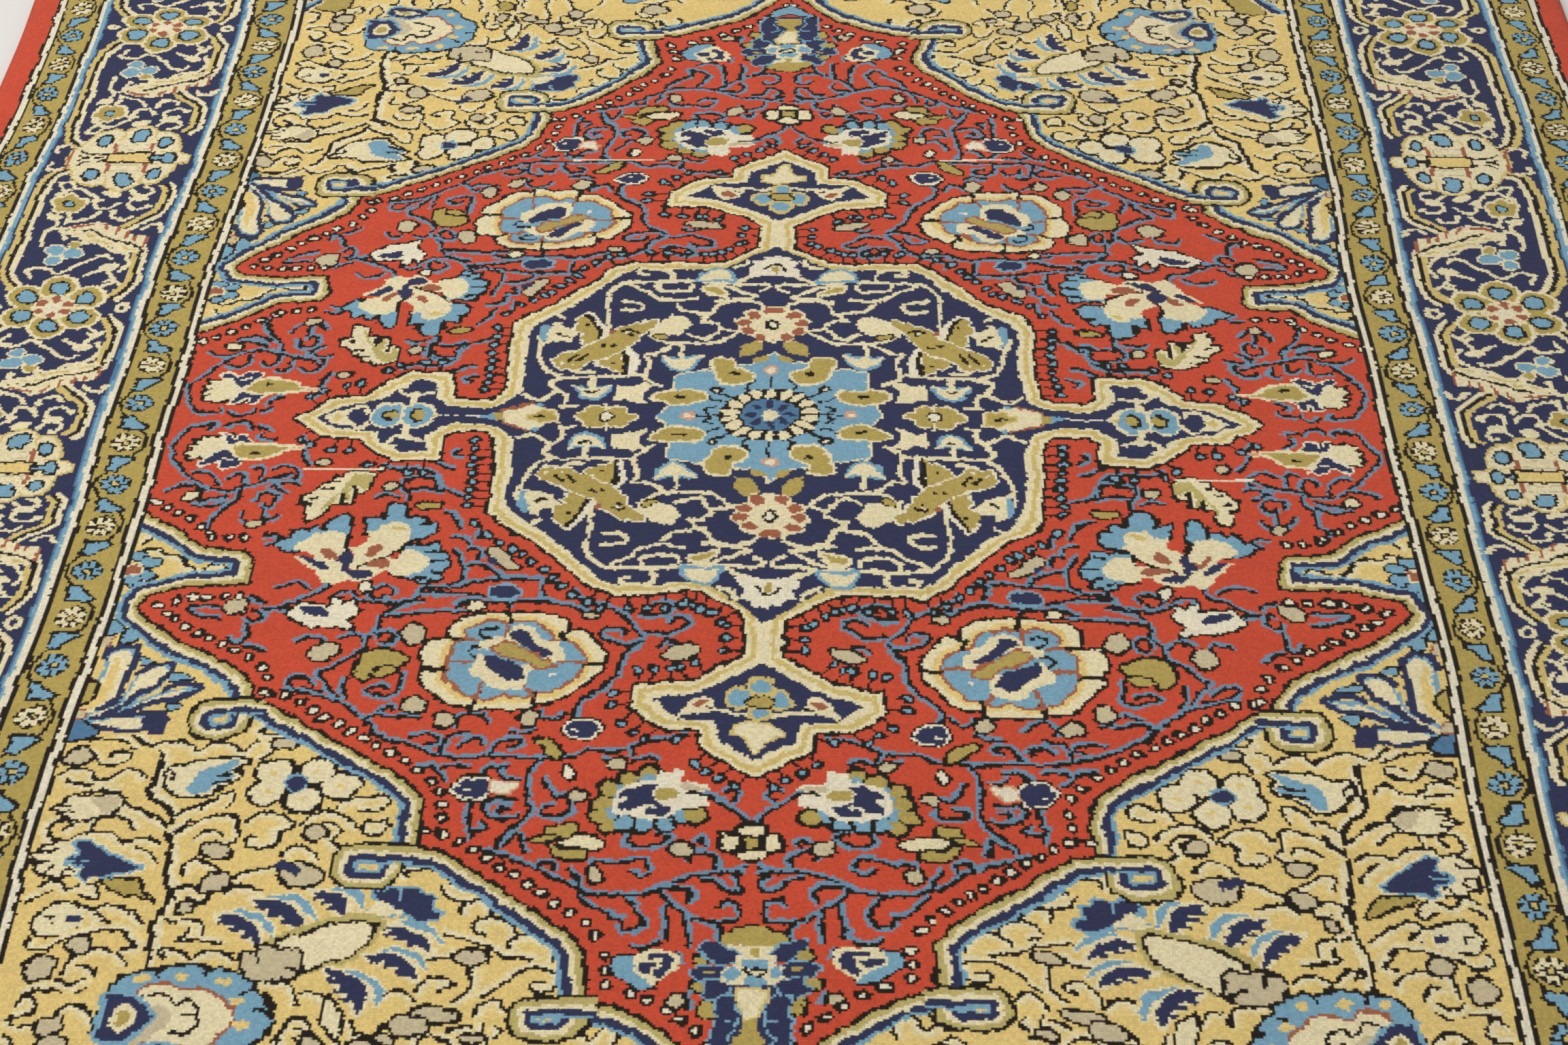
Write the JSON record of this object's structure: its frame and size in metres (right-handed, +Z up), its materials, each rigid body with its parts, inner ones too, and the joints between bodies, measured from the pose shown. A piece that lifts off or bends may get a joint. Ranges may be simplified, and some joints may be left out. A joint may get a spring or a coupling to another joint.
{
  "type": "persian rug",
  "caption": "Hand-knotted wool medallion rug with spandrel corners and a floral border, lying flat with gently wavy sides.",
  "frame": {"origin": "centre of the underside, on the surface the rug lies on", "axes": "+X across the rug, +Y along its length (the warp), +Z up through the pile"},
  "size_m": [1.4, 2.1, 0.009],
  "materials": {
    "wool_pile": "matte knotted wool pile with a soft sheen"
  },
  "bodies": {
    "root": {"rug": "wool_pile"}
  },
  "joints": []
}
